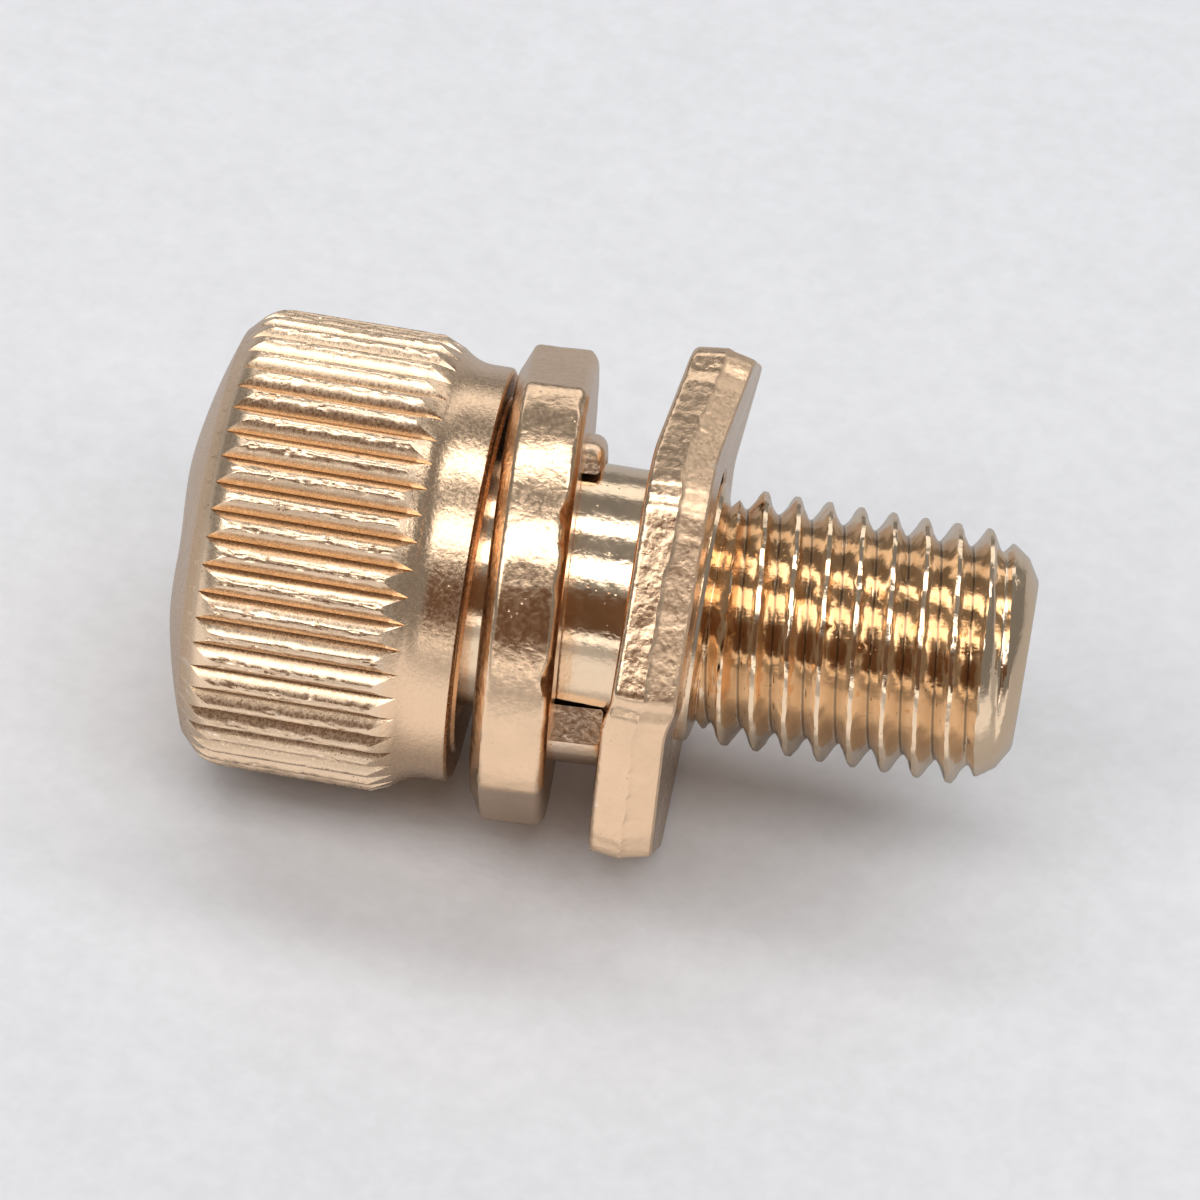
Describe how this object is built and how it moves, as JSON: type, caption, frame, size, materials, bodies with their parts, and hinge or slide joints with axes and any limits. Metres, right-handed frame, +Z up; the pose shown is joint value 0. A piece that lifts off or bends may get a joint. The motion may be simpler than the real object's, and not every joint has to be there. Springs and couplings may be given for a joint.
{
  "type": "assembly screw",
  "caption": "Knurled screw with a dished groove over its crown and a flared collar, lying with two loose washers on its shank: a bevelled one with two dogs and an eight-sided bent one.",
  "frame": {"origin": "on the surface it lies on, below the middle of its length", "axes": "+Z up; the screw's axis lies over +X, thread end at +X and raised 2.9 degrees; the side seen by a viewer in front is -Y"},
  "size_m": [0.0199, 0.0118, 0.012],
  "materials": {
    "screw": "pale bronze, tumbled head, turned shank",
    "dog_washer": "pale bronze, tumbled",
    "lock_washer": "pale bronze, stamped edge half sheared and half torn"
  },
  "bodies": {
    "screw_body": {"screw": "screw"},
    "dog_washer_body": {"dog_washer": "dog_washer"},
    "lock_washer_body": {"lock_washer": "lock_washer"}
  },
  "joints": [
    {"name": "dog_washer_spin", "type": "hinge", "parent": "screw_body", "child": "dog_washer_body", "pos_m": [-0.00255, -0.00008, 0.00561], "axis": [0.9967, 0.0508, 0.0635], "continuous": true},
    {"name": "lock_washer_spin", "type": "hinge", "parent": "screw_body", "child": "lock_washer_body", "pos_m": [0.00081, 0, 0.00595], "axis": [0.9987, 0, 0.0509], "continuous": true}
  ]
}
